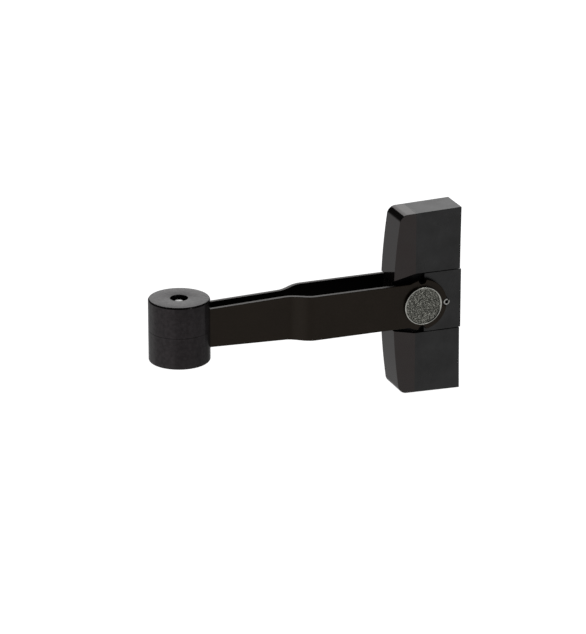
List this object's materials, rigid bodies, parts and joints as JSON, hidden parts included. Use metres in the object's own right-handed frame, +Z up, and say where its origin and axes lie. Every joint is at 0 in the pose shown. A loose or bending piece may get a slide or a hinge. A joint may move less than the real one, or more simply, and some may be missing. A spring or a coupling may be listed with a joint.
{
  "type": "shutter holdback",
  "caption": "Shutter holdback: a steel strap fork on a round buffer, with a sprung dog that turns on a rivet and clicks across or in line with the fork.",
  "frame": {"origin": "middle of the object's box, with the dog across the fork; the pivot is 52.0 mm along +X and the buffer's axis 58.0 mm along -X", "axes": "+X from the buffer to the dog, +Y along the pivot away from the rivet's head, +Z up the dog"},
  "size_m": [0.143, 0.027, 0.085],
  "materials": {
    "black_steel": "satin black coating",
    "black_buffer": "satin moulded",
    "black_nylon": "satin moulded",
    "rivet_steel": "hammered face, bright rim",
    "pin_steel": "bright",
    "zinc_steel": "zinc plated",
    "dark_zinc": "black zinc plated",
    "bronze": "sintered",
    "grey_nylon": "smooth"
  },
  "bodies": {
    "fork": {"fork_strap": "black_steel", "buffer_upper": "black_buffer", "buffer_lower": "black_buffer", "clamp_screw": "zinc_steel", "clamp_washer": "dark_zinc", "clamp_nut": "dark_zinc", "eye_sleeve": "zinc_steel", "pivot_rivet": "rivet_steel", "tail_washer": "dark_zinc"},
    "dog": {"dog_body": "black_nylon", "pivot_bush": "bronze", "thrust_washer_near": "grey_nylon", "thrust_washer_far": "grey_nylon", "guide_screw_upper": "zinc_steel", "guide_screw_lower": "zinc_steel", "detent_spring_upper": "zinc_steel", "detent_spring_lower": "zinc_steel"},
    "detent": {"detent_slide": "black_nylon", "detent_pin": "pin_steel"}
  },
  "joints": [
    {"name": "dog_turn", "type": "hinge", "parent": "fork", "child": "dog", "pos_m": [0.052, 0, 0], "axis": [0, 1, 0], "range_deg": [-90, 90], "deforming": ["detent_pin"]},
    {"name": "detent_slide", "type": "slide", "parent": "dog", "child": "detent", "axis": [1, 0, 0], "range_m": [0, 0.002], "stiffness_N_per_m": 1500, "springref_m": -0.0015, "deforming": ["detent_spring_upper", "detent_spring_lower"]}
  ]
}
